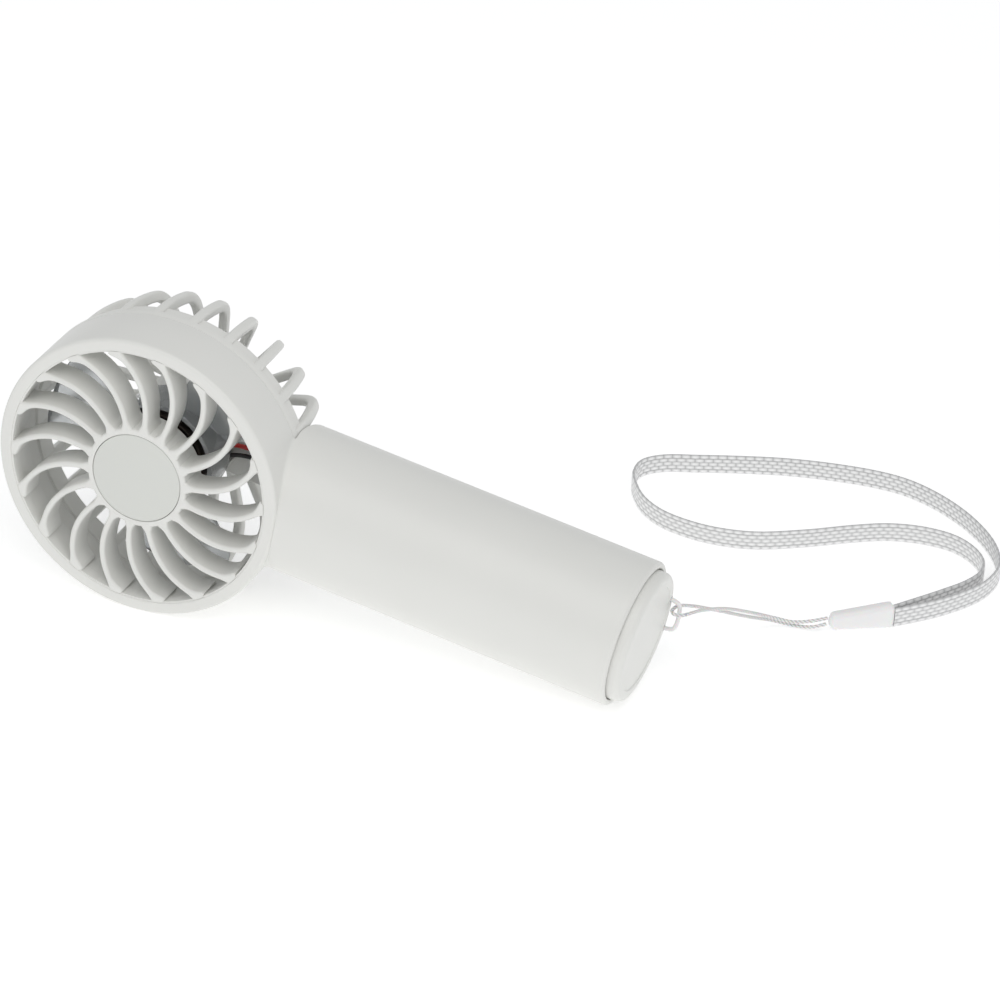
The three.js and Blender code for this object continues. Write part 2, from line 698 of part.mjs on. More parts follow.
// The ribbon's centre line, seen from above: out of the ferrule, round the loop and back into it.
const RIBBON_ROUTE = [
  [119, 54.8],
  [126.1, 62.6],
  [130.6, 69],
  [133.6, 74.8],
  [135, 80.2],
  [135, 86],
  [133.2, 91.2],
  [129.6, 97],
  [124.2, 102.8],
  [117.6, 108],
  [109.6, 112.4],
  [101.6, 115],
  [93.6, 115.4],
  [81.6, 113.6],
  [70.6, 110.6],
  [60.6, 106.6],
  [50.6, 102],
  [42.6, 98],
  [38.8, 93.4],
  [39, 87.2],
  [42, 81.4],
  [46.2, 76.4],
  [52.2, 72.6],
  [59.6, 70.8],
  [67.6, 70.8],
  [76.6, 73.2],
  [87.2, 79.8],
  [97.6, 87.8],
  [104.6, 92.2],
  [112.6, 94.6],
  [120.6, 94.4],
  [126.6, 91.4],
  [130.8, 86.4],
  [131.8, 81],
  [130.2, 75.4],
  [126.2, 68.4],
  [118, 56],
];

const strand = (points) => swept(roundSection(STRAP_CORD_R), points, 18);

function strapRibbon() {
  const [h, t] = [RIBBON_W / 2, RIBBON_T / 2];
  const section = [
    [-h, -t / 2],
    [-h + t / 2, -t],
    [h - t / 2, -t],
    [h, -t / 2],
    [h, t / 2],
    [h - t / 2, t],
    [-h + t / 2, t],
    [-h, t / 2],
  ].map((p) => new THREE.Vector2(...p));
  return swept(section, RIBBON_ROUTE.map(([x, y]) => [x, y, h + 0.1]), 44);
}

function strapFerrule() {
  const half = FERRULE_L / 2;
  const [low, high] = FERRULE_HALF_W;
  const outline = [
    [-half, low - 0.8],
    [-half, -low + 0.8],
    [-half + 0.8, -low],
    [half - 1, -high],
    [half, -high + 1],
    [half, high - 1],
    [half - 1, high],
    [-half + 0.8, low],
  ];
  return plate(outline, -FERRULE_T / 2, FERRULE_T / 2);
}

// ---- Assembly ----
const fan = new THREE.Group();
fan.rotation.y = TILT;
fan.add(
  piece("main_housing", mainHousing(), WHITE),
  piece("front_grille", frontGrille(), WHITE),
  piece("badge_disc", badgeDisc(), BADGE),
  piece("rear_cage", rearCage(), WHITE),
  piece("propeller", propeller(), SMOKE),
  piece("rotor_can", rotorCan(), DARK_STEEL),
  piece("magnet_ring", magnetRing(), MAGNET),
  piece("motor_shaft", motorShaft(), STEEL),
  piece("shaft_clip", shaftClip(), STEEL),
  piece("bearing_sleeve", bearingSleeve(), BRONZE),
  piece("bearing_tube", bearingTube(), STEEL),
  piece("stator_core", statorCore(), STEEL),
  piece("motor_board", motorBoard(), BOARD),
  piece("motor_chip", motorChip(), BLACK),
  piece("red_motor_wire", motorWire(1), RED_WIRE),
  piece("black_motor_wire", motorWire(-1), BLACK_WIRE),
  piece("battery_cell", batteryCell(), CELL),
  piece("battery_tray", batteryTray(), WHITE),
  piece("foam_pad", foamPad(), FOAM),
  piece("circuit_board", circuitBoard(), BOARD),
  piece("usb_socket", usbSocket(), STEEL),
  piece("tact_switch", tactSwitch(), BLACK),
  piece("switch_plunger", switchPlunger(), BLACK),
  piece("power_button", powerButton(), WHITE),
  piece("charge_led", chargeLed(), CLEAR),
  piece("light_guide", lightGuide(), CLEAR),
  piece("control_chip", controlChip(), BLACK),
  piece("red_battery_lead", batteryLead(45.6, 1), RED_WIRE),
  piece("black_battery_lead", batteryLead(116.4, -1), BLACK_WIRE),
  piece("end_cap", endCap(), WHITE),
  piece("strap_eyelet", strapEyelet(), CORD),
);
for (let k = 0; k < 4; k++)
  fan.add(piece(`stator_coil_${k + 1}`, spun(statorCoil(), (k * Math.PI) / 2), COPPER));
BOARD_SCREWS.forEach(([x, z], k) =>
  fan.add(piece(`board_screw_${k + 1}`, boardScrew().translate(x, 0, z), STEEL)),
);
[-1, 1].forEach((side, k) =>
  fan.add(piece(`cage_screw_${k + 1}`, cageScrew().translate(SCREW_X, 0, side * SCREW_Z), STEEL)),
);

// The fan stands with the middle of its footprint over the origin.
fan.updateMatrixWorld(true);
const extent = new THREE.Box3().setFromObject(fan, true);
fan.position.set(
  -(extent.min.x + extent.max.x) / 2,
  -(extent.min.y + extent.max.y) / 2,
  -extent.min.z,
);

const ferrule = piece("strap_ferrule", strapFerrule(), CORD);
ferrule.position.set(...FERRULE_AT);
ferrule.rotation.z = FERRULE_TURN;

const handheldFan = new THREE.Group();
handheldFan.add(
  fan,
  ferrule,
  piece("strap_cord_1", strand(STRAND_1), CORD),
  piece("strap_cord_2", strand(STRAND_2), CORD),
  piece("strap_ribbon", strapRibbon(), RIBBON),
);
export default handheldFan;
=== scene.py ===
import json
import math

import bmesh
import bpy
from mathutils import Matrix, Vector


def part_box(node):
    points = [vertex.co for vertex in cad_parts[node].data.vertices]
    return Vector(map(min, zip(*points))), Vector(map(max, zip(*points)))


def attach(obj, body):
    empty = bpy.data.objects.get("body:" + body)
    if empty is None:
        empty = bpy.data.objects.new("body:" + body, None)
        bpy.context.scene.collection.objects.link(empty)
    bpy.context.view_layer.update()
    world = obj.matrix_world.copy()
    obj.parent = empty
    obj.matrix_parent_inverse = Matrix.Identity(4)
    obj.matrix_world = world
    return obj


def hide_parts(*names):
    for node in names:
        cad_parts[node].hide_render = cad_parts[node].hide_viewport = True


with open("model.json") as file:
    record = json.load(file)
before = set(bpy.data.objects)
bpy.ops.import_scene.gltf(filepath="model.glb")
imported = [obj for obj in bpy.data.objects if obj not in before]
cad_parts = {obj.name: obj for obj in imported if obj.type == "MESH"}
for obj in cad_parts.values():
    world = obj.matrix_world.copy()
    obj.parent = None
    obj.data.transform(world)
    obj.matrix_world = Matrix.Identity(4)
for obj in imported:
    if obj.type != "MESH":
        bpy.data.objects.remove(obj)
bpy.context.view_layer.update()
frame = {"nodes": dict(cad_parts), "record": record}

scene = bpy.context.scene
RAD = math.pi / 180
TAU = 2 * math.pi
MM = 0.001

# ---- Dimensions, as in the CAD ----
HEAD_R, HEAD_WALL, HEAD_DEPTH = 36, 2, 14.3
OPENING_R, FACE_T, EDGE = 32.85, 1.4, 1
HANDLE_R, HANDLE_Y, HANDLE_END = 17.8, 17.9, 121.2
BORE_R, BORE_START = 15.8, 41
RECESS_R, RECESS_START = 16.3, 118.2
CAGE_CLEAR_R = 36.3  # the handle's hollow end stands clear of the cage

HUB_R, HUB_BACK, BADGE_R = 12.85, 8.7, 11.3
FIN_COUNT, FIN_T, FIN_FRONT, FIN_BACK = 18, 1.45, 0.1, 7.1
FIN_SWEEP, FIN_TIP = 18.75 * RAD, 10 * RAD
FIN_ROOT_FLARE, FIN_TIP_FLARE = 0.8, 1.1
RIM_R, RIM_BACK = 32.75, 8.6
MOUTH_R = 32.5  # inside of the thin sleeve that carries the rim forward into the mouth

CAGE_LIP = 14.45, 16.6
CAGE_RING_R, CAGE_RING_BACK = (33.5, 35.1), 20.3
RIB_PITCH, RIB_PHASE, FIRST_RIB, LAST_RIB = 15 * RAD, -1 * RAD, 2, 22
RIB_T, RIB_SIDE_START, RIB_SIDE_R, RIB_LEAN = 2.7, 17, 51, 17.4 * RAD
RIB_CORNER_R, RIB_TURN = 9, 75 * RAD
RIB_WIDTHS, RIB_EDGE = (2.5, 2.1), 0.75  # at the head's ring and at the rear hub
REAR_HUB_R, REAR_HUB_FRONT, REAR_HUB_FLOOR, REAR_FACE = 13.3, 23.4, 40.1, 42.8
ARM_Y, ARM_HALF_W, ARM_END = (28.5, 31), 4, 31
ARM_SHELF_X, ARM_SHELF_Z = (8, 28.8), (-8.5, 0.9 - ARM_HALF_W)
WIRE_R, WIRE_HOLE_R, WIRE_Y = 0.55, 2.2, 27.2
ROOT_PLATE_R, ROOT_PLATE_HALF, ROOT_PLATE_Y = (28.6, 35.9), 18 * RAD, (30, 32.6)
SCREW_X, SCREW_Z, BOSS_Y = 31.9, 7.5, 22.5
SCREW_HEAD_R, SCREW_HEAD_Y, SCREW_SHAFT_R, SCREW_TIP = 1.9, (32.9, 34.1), 0.8, 23.6

ROTOR_R, PROP_HUB_R, PROP_HUB_Y, PROP_TIP_R = 12.4, 14, (11.7, 21.9), 30.8
BLADE_COUNT, BLADE_T, BLADE_SPAN, BLADE_PHASE = 3, 1.1, 62 * RAD, 56 * RAD
BLADE_SKEW, BLADE_CAMBER, BLADE_NARROWING, BLADE_FLATTENING = -8 * RAD, 2.2, 0.12, 0.25
BLADE_FRONT, BLADE_BACK = 13.6, 20.2

BUTTON_X, BUTTON_HOLE_R, BUTTON_DISH_R, BUTTON_DISH_Y = 62, 5.6, 6.6, 34.9
LED_X, LED_HOLE_R, USB_X = 74, 1.3, 100
CAP_R, CAP_FACE = 15.95, 124.1
EYELET_Y, EYELET_R, EYELET_FOOT_X, EYELET_BAR_X, EYELET_FEET = 31.4, 0.55, 120.9, 126.7, (-4.6, 3.6)

STRAP_CORD_R = 0.45
RIBBON_W, RIBBON_T = 5, 0.9
FERRULE_L, FERRULE_T, FERRULE_HALF_W = 16, 3.2, (2.1, 3.25)
FERRULE_AT, FERRULE_TURN = (112.3, 49.9, 3.35), 38.7 * RAD

# The fan's own frame on the table: tilted so that the head and the handle's end both rest.
REST = HANDLE_END - EDGE, HANDLE_R - EDGE
TILT = math.asin((HEAD_R - EDGE) / math.hypot(*REST)) - math.atan2(REST[1], REST[0])
can_low, can_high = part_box("rotor_can")
fan_axis = (can_low + can_high) / 2
fan_axis.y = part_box("main_housing")[0].y
FAN = Matrix.Translation(fan_axis) @ Matrix.Rotation(TILT, 4, "Y") @ Matrix.Scale(MM, 4)
TABLE = Matrix.Scale(MM, 4)


# ---- Camera ----
CAMERA_AT = Vector((349.76, -888.95, 637.52))  # these three are in the fan's frame
CAMERA_TARGET = Vector((77.66, 33.64, 9.99))
CAMERA_UP = Vector((-0.36292, 0.44852, 0.81677))
LENS, SENSOR_W = 176.65, 36


def make_camera():
    data = bpy.data.cameras.new("camera")
    data.lens, data.sensor_width = LENS, SENSOR_W
    data.clip_start, data.clip_end = 0.05, 20
    camera = bpy.data.objects.new("camera", data)
    scene.collection.objects.link(camera)
    turn = FAN.to_3x3().normalized()
    back = (turn @ (CAMERA_AT - CAMERA_TARGET)).normalized()
    right = (turn @ CAMERA_UP).cross(back).normalized()
    up = back.cross(right)
    axes = Matrix((right, up, back)).transposed().to_4x4()
    camera.matrix_world = Matrix.Translation(FAN @ CAMERA_AT) @ axes
    scene.camera = camera


make_camera()


# ---- Materials ----
def principled(name, color, roughness, **sockets):
    """A material with the shader's uniform values set, and the node tree and shader to build on."""
    material = bpy.data.materials.new(name)
    material["slot"] = name
    material.use_nodes = True
    tree = material.node_tree
    shader = tree.nodes["Principled BSDF"]
    shader.inputs["Base Color"].default_value = (*color, 1)
    shader.inputs["Roughness"].default_value = roughness
    for socket, value in sockets.items():
        shader.inputs[socket.replace("_", " ")].default_value = value
    return material, tree, shader


def noise(tree, scale, detail=2.0, stretch=(1, 1, 1)):
    """Noise over the piece's own coordinates; scale is in bumps per metre."""
    where = tree.nodes.new("ShaderNodeTexCoord")
    mapping = tree.nodes.new("ShaderNodeMapping")
    mapping.inputs["Scale"].default_value = stretch
    texture = tree.nodes.new("ShaderNodeTexNoise")
    texture.inputs["Scale"].default_value = scale
    texture.inputs["Detail"].default_value = detail
    tree.links.new(where.outputs["Object"], mapping.inputs["Vector"])
    tree.links.new(mapping.outputs["Vector"], texture.inputs["Vector"])
    return texture.outputs["Fac"]


def blend_color(tree, fac, low, high):
    mix = tree.nodes.new("ShaderNodeMix")
    mix.data_type = "RGBA"
    mix.inputs["A"].default_value = (*low, 1)
    mix.inputs["B"].default_value = (*high, 1)
    tree.links.new(fac, mix.inputs["Factor"])
    return mix.outputs["Result"]


def blend_value(tree, fac, low, high):
    span = tree.nodes.new("ShaderNodeMapRange")
    span.inputs["To Min"].default_value = low
    span.inputs["To Max"].default_value = high
    tree.links.new(fac, span.inputs["Value"])
    return span.outputs["Result"]


def bump(tree, shader, height, depth):
    """Relief of the given depth in metres."""
    node = tree.nodes.new("ShaderNodeBump")
    node.inputs["Distance"].default_value = depth
    tree.links.new(height, node.inputs["Height"])
    tree.links.new(node.outputs["Normal"], shader.inputs["Normal"])


def moulded(name, color, roughness, tone=0.02, grain=2600, depth=4e-6, **sockets):
    """Moulded plastic: a fine spark-eroded grain, slow drifts of tone and patchy gloss."""
    material, tree, shader = principled(name, color, roughness, **sockets)
    low = [c * (1 - tone) for c in color]
    high = [min(1, c * (1 + tone)) for c in color]
    drift = noise(tree, 45, 3)
    tree.links.new(blend_color(tree, drift, low, high), shader.inputs["Base Color"])
    gloss = noise(tree, 240, 4)
    tree.links.new(
        blend_value(tree, gloss, roughness - 0.05, roughness + 0.05), shader.inputs["Roughness"]
    )
    bump(tree, shader, noise(tree, grain, 3), depth)
    return material


def brushed(name, color, roughness, stretch=(1, 1, 30), depth=2e-6):
    """Metal with fine turning or rolling marks, drawn out across one axis."""
    material, tree, shader = principled(name, color, roughness, Metallic=1.0)
    marks = noise(tree, 700, 4, stretch)
    low = [c * 0.82 for c in color]
    tree.links.new(blend_color(tree, marks, low, color), shader.inputs["Base Color"])
    tree.links.new(
        blend_value(tree, marks, roughness - 0.08, roughness + 0.14), shader.inputs["Roughness"]
    )
    bump(tree, shader, marks, depth)
    return material


def laminate(name):
    """Green solder mask over copper tracks."""
    mask = (0.02, 0.16, 0.06)
    material, tree, shader = principled(name, mask, 0.35)
    tracks = noise(tree, 420, 1, (1, 1, 6))
    ramp = tree.nodes.new("ShaderNodeValToRGB")
    low, high = ramp.color_ramp.elements
    low.position, low.color = 0.49, (*mask, 1)
    high.position, high.color = 0.52, (0.04, 0.27, 0.09, 1)
    tree.links.new(tracks, ramp.inputs["Fac"])
    tree.links.new(ramp.outputs["Color"], shader.inputs["Base Color"])
    bump(tree, shader, tracks, 1e-5)
    return material


def foam_rubber(name):
    """Closed-cell foam: small dark cells between paler walls."""
    material, tree, shader = principled(name, (0.035, 0.035, 0.04), 0.95)
    cells = tree.nodes.new("ShaderNodeTexVoronoi")
    cells.inputs["Scale"].default_value = 2500
    where = tree.nodes.new("ShaderNodeTexCoord")
    tree.links.new(where.outputs["Object"], cells.inputs["Vector"])
    tree.links.new(
        blend_color(tree, cells.outputs["Distance"], (0.015, 0.015, 0.02), (0.06, 0.06, 0.065)),
        shader.inputs["Base Color"],
    )
    bump(tree, shader, cells.outputs["Distance"], 1e-4)
    return material


def yarn(name, shade, light, roughness, **sockets):
    """Nylon filaments: the mesh's own 'weave' value is 0 deep between the yarns and 1 on their crowns. The
    colour runs from the shade colour, painted shade, deep between the yarns to the light colour on the
    crowns.
    """
    material, tree, shader = principled(name, light, roughness, **sockets)
    weave = tree.nodes.new("ShaderNodeAttribute")
    weave.attribute_name = "weave"
    # painted shade: the colour darkens towards the shade colour where the weave value is low, deep between
    # the yarns
    tree.links.new(blend_color(tree, weave.outputs["Fac"], shade, light), shader.inputs["Base Color"])
    bump(tree, shader, noise(tree, 9000, 2), 1.5e-5)
    return material


WHITE = moulded("white_abs", (0.78, 0.78, 0.753), 0.40)
BADGE = moulded("badge", (0.695, 0.705, 0.672), 0.62, tone=0.01, grain=5000, depth=3e-6)
SMOKE = moulded(
    "smoke_blade", (0.74, 0.76, 0.77), 0.2, tone=0.04, depth=1e-6, Transmission_Weight=0.7, IOR=1.45
)
CLEAR = moulded(
    "clear_plastic", (0.85, 0.9, 0.93), 0.14, tone=0.01, depth=1e-6, Transmission_Weight=0.8, IOR=1.5
)
STRAP_PLASTIC = moulded(
    "strap_plastic", (0.87, 0.87, 0.87), 0.34, tone=0.01, Subsurface_Weight=0.2,
    Subsurface_Scale=0.001,
)
BLACK = moulded("black_plastic", (0.018, 0.018, 0.02), 0.45, tone=0.2, depth=8e-6)
RED_WIRE = moulded("red_wire", (0.5, 0.015, 0.012), 0.35, tone=0.1, depth=8e-6)
BLACK_WIRE = moulded("black_wire", (0.012, 0.012, 0.012), 0.35, tone=0.2, depth=8e-6)
CELL = moulded("cell_sleeve", (0.03, 0.22, 0.5), 0.28, tone=0.06, grain=400, depth=1e-5)
MAGNET = moulded("magnet", (0.03, 0.026, 0.024), 0.7, tone=0.3, grain=5200, depth=3e-5)
STEEL = brushed("steel", (0.5, 0.5, 0.51), 0.3)
DARK_STEEL = brushed("rotor_steel", (0.045, 0.036, 0.032), 0.34)
BRONZE = brushed("bronze", (0.42, 0.22, 0.09), 0.42)
COPPER = brushed("copper", (0.62, 0.22, 0.07), 0.3, stretch=(6, 6, 1), depth=2e-5)
BOARD = laminate("circuit_board")
FOAM = foam_rubber("foam")
# the first colour of each yarn is painted shade deep between the yarns, and the second is the colour on
# their crowns
CORD = yarn("strap_cord", (0.42, 0.42, 0.42), (0.84, 0.84, 0.84), 0.42, Subsurface_Weight=0.3,
            Subsurface_Scale=0.0006)
RIBBON = yarn("strap_ribbon", (0.36, 0.36, 0.365), (0.95, 0.95, 0.95), 0.38, Sheen_Weight=0.3)


# ---- Meshes ----
# A shape is a pair of lists, points and faces, and every shape is one or more closed skins.
def merged(*shapes):
    points, faces = [], []
    for more, theirs in shapes:
        faces += [[i + len(points) for i in face] for face in theirs]
        points += more
    return points, faces


def placed(shape, matrix):
    """The shape moved by a matrix."""
    return [matrix @ Vector(p) for p in shape[0]], shape[1]


def spun(shape, angle):
    """Turned about the fan's axis, from x towards z."""
    return placed(shape, Matrix.Rotation(-angle, 4, "Y"))


def skin(rings, loop=False):
    """Quads between neighbouring rings of points, with a flat cap on each end unless it is a loop."""
    n, count = len(rings[0]), len(rings)
    faces = []
    for i in range(count if loop else count - 1):
        a, b = i * n, (i + 1) % count * n
        faces += [[a + j, a + (j + 1) % n, b + (j + 1) % n, b + j] for j in range(n)]
    if not loop:
        faces += [list(range(n))[::-1], [(count - 1) * n + j for j in range(n)]]
    return [Vector(p) for ring in rings for p in ring], faces


def turned(profile, sides=96, loop=False):
    """(r, y) points turned about the y axis."""
    angles = [i * TAU / sides for i in range(sides)]
    return skin([[(r * math.cos(a), y, r * math.sin(a)) for a in angles] for r, y in profile], loop)


def arc(centre, radius, start, end, steps):
    """Points of a round corner in a profile."""
    angles = [start + (end - start) * i / steps for i in range(steps + 1)]
    return [(centre[0] + radius * math.cos(a), centre[1] + radius * math.sin(a)) for a in angles]


def rounded(width, height, radius, steps=4):
    """A rectangle with round corners about the origin."""
    w, h = width / 2 - radius, height / 2 - radius
    corners = [(w, -h), (w, h), (-w, h), (-w, -h)]
    return [
        p
        for k, corner in enumerate(corners)
        for p in arc(corner, radius, (k - 1) * math.pi / 2, k * math.pi / 2, steps)
    ]


def ring_body(inner, outer, front, back, edge, sides=96):
    """A ring of rectangular section with round edges."""
    section = rounded(outer - inner, back - front, edge)
    middle = (inner + outer) / 2, (front + back) / 2
    return turned([(middle[0] + r, middle[1] + y) for r, y in section], sides, loop=True)


def along_handle(shape):
    """Lays a shape drawn about the y axis along x, at the handle's depth."""
    return placed(shape, Matrix.Translation((0, HANDLE_Y, 0)) @ Matrix.Rotation(-math.pi / 2, 4, "Z"))


def inset(outline, distance):
    """The outline moved inwards; it runs anticlockwise."""
    points = []
    count = len(outline)
    for i, here in enumerate(outline):
        before, after = Vector(outline[i - 1]), Vector(outline[(i + 1) % count])
        here = Vector(here)
        first, second = (here - before).normalized(), (after - here).normalized()
        normal = Vector((-first.y - second.y, first.x + second.x)).normalized()
        square = max(0.35, normal.dot(Vector((-first.y, first.x))))
        points.append(here + normal * distance / square)
    return points


def plate(outline, front, back, edge, steps=3):
    """A flat outline of (x, z) points made into a plate with round edges."""
    area = sum(a[0] * b[1] - b[0] * a[1] for a, b in zip(outline, outline[1:] + outline[:1]))
    if area < 0:
        outline = outline[::-1]
    turns = [i * math.pi / 2 / steps for i in range(steps + 1)]
    layers = [(edge * (1 - math.sin(t)), front + edge * (1 - math.cos(t))) for t in turns]
    layers += [(d, front + back - y) for d, y in reversed(layers)]
    return skin([[(p[0], y, p[1]) for p in inset(outline, d)] for d, y in layers])


def circle(radius, sides):
    angles = [i * TAU / sides for i in range(sides)]
    return [(radius * math.cos(a), radius * math.sin(a)) for a in angles]


def tube(points, radius, sides=16):
    """A round bar along a route of points."""
    return swept(points, circle(radius, sides))


def swept(points, section):
    """A section swept along a route without twisting."""
    points = [Vector(p) for p in points]
    count = len(points)
    side = None
    rings = []
    for i, here in enumerate(points):
        ahead = (points[min(i + 1, count - 1)] - points[max(i - 1, 0)]).normalized()
        if side is None:
            side = ahead.orthogonal().normalized()
        else:
            side = (side - ahead * side.dot(ahead)).normalized()
        up = ahead.cross(side)
        rings.append([here + side * a + up * b for a, b in section])
    return skin(rings)


def smooth_route(points, step):
    """A centripetal Catmull-Rom curve through the points, as even steps of about the given length."""
    points = [Vector(p) for p in points]
    ends = [points[0] * 2 - points[1], *points, points[-1] * 2 - points[-2]]
    fine, cuts = [], 24
    for p0, p1, p2, p3 in zip(ends, ends[1:], ends[2:], ends[3:]):
        t1 = math.sqrt((p1 - p0).length)
        t2 = t1 + math.sqrt((p2 - p1).length)
        t3 = t2 + math.sqrt((p3 - p2).length)
        for k in range(cuts):
            t = t1 + (t2 - t1) * k / cuts
            a1 = p0 * ((t1 - t) / t1) + p1 * (t / t1)
            a2 = p1 * ((t2 - t) / (t2 - t1)) + p2 * ((t - t1) / (t2 - t1))
            a3 = p2 * ((t3 - t) / (t3 - t2)) + p3 * ((t - t2) / (t3 - t2))
            b1 = a1 * ((t2 - t) / t2) + a2 * (t / t2)
            b2 = a2 * ((t3 - t) / (t3 - t1)) + a3 * ((t - t1) / (t3 - t1))
            fine.append(b1 * ((t2 - t) / (t2 - t1)) + b2 * ((t - t1) / (t2 - t1)))
    fine.append(points[-1])
    lengths = [0.0]
    for a, b in zip(fine, fine[1:]):
        lengths.append(lengths[-1] + (b - a).length)
    count = max(2, round(lengths[-1] / step))
    route, j = [], 0
    for k in range(count + 1):
        wanted = lengths[-1] * k / count
        while j < len(fine) - 2 and lengths[j + 1] < wanted:
            j += 1
        share = (wanted - lengths[j]) / max(1e-9, lengths[j + 1] - lengths[j])
        route.append(fine[j].lerp(fine[j + 1], min(1, share)))
    return route


def mesh_of(name, shape):
    """A mesh of the shape with every skin facing outwards."""
    mesh = bpy.data.meshes.new(name)
    mesh.from_pydata(shape[0], [], shape[1])
    work = bmesh.new()
    work.from_mesh(mesh)
    bmesh.ops.recalc_face_normals(work, faces=work.faces)
    work.to_mesh(mesh)
    work.free()
    return mesh


def combined(first, second, operation):
    """Two shapes joined or cut with an exact boolean."""
    objects = [bpy.data.objects.new("working", mesh_of("working", s)) for s in (first, second)]
    for o in objects:
        scene.collection.objects.link(o)
    boolean = objects[0].modifiers.new("boolean", "BOOLEAN")
    boolean.operation, boolean.object, boolean.solver = operation, objects[1], "MANIFOLD"
    evaluated = objects[0].evaluated_get(bpy.context.evaluated_depsgraph_get())
    result = bpy.data.meshes.new_from_object(evaluated)
    shape = [v.co.copy() for v in result.vertices], [list(f.vertices) for f in result.polygons]
    for o in objects:
        mesh = o.data
        bpy.data.objects.remove(o)
        bpy.data.meshes.remove(mesh)
    bpy.data.meshes.remove(result)
    return shape


def join(*shapes):
    whole = shapes[0]
    for shape in shapes[1:]:
        whole = combined(whole, shape, "UNION")
    return whole


def cut(shape, *tools):
    for tool in tools:
        shape = combined(shape, tool, "DIFFERENCE")
    return shape


def piece(name, shape, material, body="body", replaces=(), place=FAN, crease=32):
    """Puts a shape in the scene as a smooth-shaded piece that rides on a body."""
    mesh = mesh_of(name, placed(shape, place))
    work = bmesh.new()
    work.from_mesh(mesh)
    for face in work.faces:
        face.smooth = True
    for edge in work.edges:
        edge.smooth = len(edge.link_faces) == 2 and edge.calc_face_angle(0) < crease * RAD
    work.to_mesh(mesh)
    work.free()
    mesh.materials.append(material)
    obj = bpy.data.objects.new(name, mesh)
    scene.collection.objects.link(obj)
    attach(obj, body)
    if replaces:
        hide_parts(*replaces)
    return obj


# ---- Wrist strap ----
STRAND_1 = [
    (82, 9.2, 17.8), (81.2, 8.3, 17.9), (79.9, 7.9, 18.1), (78.95, 8.8, 18.2), (78.9, 10.2, 18.2),
    (79.3, 12.2, 17.9), (81.6, 17, 15.8), (85.4, 25.4, 10.9), (89, 34.6, 5.4), (93.6, 41.2, 1.9),
    (98.6, 43, 0.9), (102.6, 43.3, 1.6), (105.5, 44.5, 2.6),
]
STRAND_2 = [
    (82.2, 9.47, 17.8), (82.9, 10.9, 17.6), (84, 14.6, 16.6), (86.8, 23.6, 13), (90.2, 32.6, 8),
    (93.8, 39.2, 4), (98, 42, 2.4), (102, 43.4, 3), (105.6, 44.8, 4.1),
]
RIBBON_ROUTE = [
    (119, 54.8), (126.1, 62.6), (130.6, 69), (133.6, 74.8), (135, 80.2), (135, 86), (133.2, 91.2),
    (129.6, 97), (124.2, 102.8), (117.6, 108), (109.6, 112.4), (101.6, 115), (93.6, 115.4),
    (81.6, 113.6), (70.6, 110.6), (60.6, 106.6), (50.6, 102), (42.6, 98), (38.8, 93.4), (39, 87.2),
    (42, 81.4), (46.2, 76.4), (52.2, 72.6), (59.6, 70.8), (67.6, 70.8), (76.6, 73.2), (87.2, 79.8),
    (97.6, 87.8), (104.6, 92.2), (112.6, 94.6), (120.6, 94.4), (126.6, 91.4), (130.8, 86.4),
    (131.8, 81), (130.2, 75.4), (126.2, 68.4), (118, 56),
]
PLY_COUNT, PLY_PITCH = 3, 3.2  # of the twisted cord
ROW_COUNT, CELL_L, WEAVE_DEPTH = 5, 2.3, 0.16  # of the woven ribbon


def set_weave_shade(obj, values):
    # the values set how much painted shade darkens the yarn's colour between the yarns
    weave = obj.data.attributes.new("weave", "FLOAT", "POINT")
    weave.data.foreach_set("value", values)


def twisted_cord(name, points):
    """Three plies laid up round each other."""
    step, sides = 0.2, 18
    valley, crest = 0.74, 0.29  # the plies' relief, as shares of the cord's radius
    route = smooth_route(points, step)
    phase_step = TAU * step / PLY_PITCH
    rings, weave = [], []
    plain = swept(route, circle(1, sides))
    for i, here in enumerate(route):
        ring = []
        for j in range(sides):
            angle = j * TAU / sides
            crown = abs(math.cos(PLY_COUNT * (angle - i * phase_step) / 2)) ** 0.7
            outward = plain[0][i * sides + j] - here
            ring.append(here + outward * STRAP_CORD_R * (valley + crest * crown))
            # the crown value also sets the painted shade on the cord's colour between the plies
            weave.append(crown)
        rings.append(ring)
    obj = piece(name, skin(rings), CORD, replaces=[name.replace("_laid", "")], place=TABLE, crease=80)
    set_weave_shade(obj, weave)
    return obj, [p * MM for p in route]


